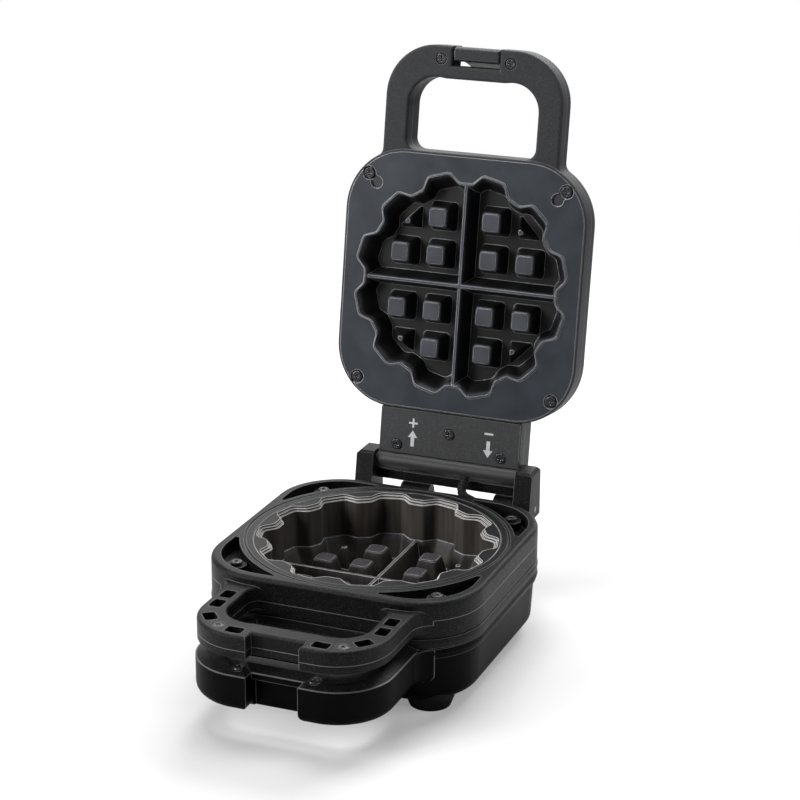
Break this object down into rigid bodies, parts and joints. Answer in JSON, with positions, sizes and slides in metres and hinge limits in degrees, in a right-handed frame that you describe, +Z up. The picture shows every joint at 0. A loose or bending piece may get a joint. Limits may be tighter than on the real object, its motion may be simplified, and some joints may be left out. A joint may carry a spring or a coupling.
{
  "type": "waffle pie maker",
  "caption": "Hinged countertop cooker with a scalloped round pan between waffle-studded plates, loop handles, a latch and a height-adjusting rear hinge.",
  "frame": {"origin": "on the table plane under the feet, at the middle of the overall box in plan with the lid open", "axes": "+X to the object's right as seen from the handles' end, +Y from the handles to the hinge, +Z up"},
  "size_m": [0.189, 0.4014, 0.3763],
  "materials": {
    "smooth_shell": "smooth moulded black plastic",
    "grained_shell": "finely grained moulded black plastic",
    "lid_shell": "satin charcoal plastic",
    "panel": "satin charcoal plastic",
    "barrel": "smooth satin black plastic",
    "plate_coating": "cast aluminium with a dark grey satin non-stick coating",
    "ring_coating": "cast aluminium with a brownish black satin non-stick coating",
    "screw": "black coated steel",
    "pin_steel": "drawn steel",
    "slide_plastic": "low-friction plastic",
    "heater_sheath": "dull heat-tinted steel sheath",
    "reflector_sheet": "bare sheet",
    "control_metal": "plated steel",
    "terminal_plastic": "off-white heat-proof plastic",
    "foot_rubber": "matte black rubber",
    "sleeve": "black ribbed rubber"
  },
  "bodies": {
    "base": {"bottom_shell": "smooth_shell", "base_frame": "grained_shell", "lower_plate": "ring_coating", "lower_plate_screws": "screw", "lower_heater": "heater_sheath", "lower_reflector": "reflector_sheet", "thermostat": "control_metal", "terminal_block": "terminal_plastic", "base_handle_cover": "grained_shell", "base_handle_screws": "screw", "feet": "foot_rubber", "foot_screws": "screw", "cord_gland": "sleeve", "ring_hinge_pin": "pin_steel"},
    "ring": {"ring_upper_shell": "grained_shell", "ring_lower_shell": "grained_shell", "pan_ring": "ring_coating", "ring_corner_screws": "screw", "ring_handle_screws": "screw", "hinge_post_left": "grained_shell", "hinge_post_right": "grained_shell", "hinge_crossbar": "grained_shell", "lead_conduit": "sleeve"},
    "carriage": {"hinge_pin": "pin_steel", "slide_block_left": "slide_plastic", "slide_block_right": "slide_plastic"},
    "lid": {"lid_frame": "lid_shell", "lid_cover": "lid_shell", "upper_plate": "plate_coating", "upper_plate_screws": "screw", "upper_heater": "heater_sheath", "upper_reflector": "reflector_sheet", "thermal_fuse": "control_metal", "hinge_barrel": "barrel", "hinge_panel": "panel", "hinge_panel_screws": "screw", "lid_handle_screws": "screw", "latch_pin": "pin_steel"},
    "latch": {"latch_hook": "lid_shell"}
  },
  "joints": [
    {"name": "ring_hinge", "type": "hinge", "parent": "base", "child": "ring", "pos_m": [0, 0.09876, 0.06], "axis": [-1, 0, 0], "range_deg": [0, 78]},
    {"name": "thickness_slide", "type": "slide", "parent": "ring", "child": "carriage", "axis": [0, 0, 1], "range_m": [0, 0.003], "deforming": ["lead_conduit"]},
    {"name": "lid_hinge", "type": "hinge", "parent": "carriage", "child": "lid", "pos_m": [0, 0.09876, 0.0819], "axis": [-1, 0, 0], "range_deg": [-99.3, 0]},
    {"name": "latch_hinge", "type": "hinge", "parent": "lid", "child": "latch", "pos_m": [0, 0.15104, 0.37024], "axis": [1, 0, 0], "range_deg": [0, 194]}
  ]
}
